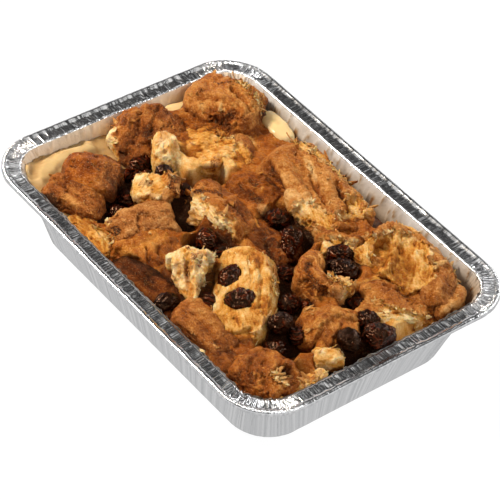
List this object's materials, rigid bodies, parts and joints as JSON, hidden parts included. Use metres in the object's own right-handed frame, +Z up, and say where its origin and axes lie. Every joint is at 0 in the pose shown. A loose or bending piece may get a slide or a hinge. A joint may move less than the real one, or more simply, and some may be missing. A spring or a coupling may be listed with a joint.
{
  "type": "bread pudding in a foil tray",
  "caption": "Baked croissant bread pudding with raisins, its torn browned pieces standing out of set custard, in an oblong aluminium foil tray with a flanged, curled rim.",
  "frame": {"origin": "middle of the tray's flat underside, where it stands", "axes": "+X along the tray's long side, +Y along its short side, +Z up; the filling is higher in the corner at -X, -Y"},
  "size_m": [0.214, 0.154, 0.0525],
  "materials": {
    "foil": "bright wrinkled foil",
    "custard": "smooth set custard with a soft sheen",
    "crust": "browned flaky crust with a light glaze",
    "crumb": "torn moist crumb, toasted at its edges",
    "raisin": "wrinkled, dark and glossy"
  },
  "bodies": {
    "root": {"foil_tray": "foil", "custard_filling": "custard", "torn_wedge": "crumb", "crust_curl": "crust", "crust_half": "crust", "crust_top_corner": "crust", "crust_torn_side": "crumb", "bowl_right": "crumb", "crust_tent": "crust", "crumb_oval": "crumb", "glazed_knob": "crust", "roll_end_left": "crust", "crumb_block": "crumb", "crumb_spire": "crumb", "crumb_pale": "crumb", "crust_slope": "crust", "crust_behind": "crust", "crust_flap": "crust", "crust_right_edge": "crust", "crust_lower": "crust", "crumb_lower_right": "crumb", "crust_bottom_corner": "crust", "arch_behind_curl": "crust", "crust_folded": "crust", "crust_wall_left": "crust", "crust_bridge": "crust", "crust_wall_front": "crust", "strip_front": "crust", "crumb_small": "crumb", "flake_corner": "crust", "crumb_wall": "crumb", "custard_back": "custard", "custard_left": "custard", "custard_front": "custard", "raisin_01": "raisin", "raisin_02": "raisin", "raisin_03": "raisin", "raisin_04": "raisin", "raisin_05": "raisin", "raisin_06": "raisin", "raisin_07": "raisin", "raisin_08": "raisin", "raisin_09": "raisin", "raisin_10": "raisin", "raisin_11": "raisin", "raisin_12": "raisin", "raisin_13": "raisin", "raisin_14": "raisin", "raisin_15": "raisin", "raisin_16": "raisin", "raisin_17": "raisin", "raisin_18": "raisin", "raisin_19": "raisin", "raisin_20": "raisin", "raisin_21": "raisin", "raisin_22": "raisin", "raisin_23": "raisin", "raisin_24": "raisin", "raisin_25": "raisin", "raisin_26": "raisin"}
  },
  "joints": []
}
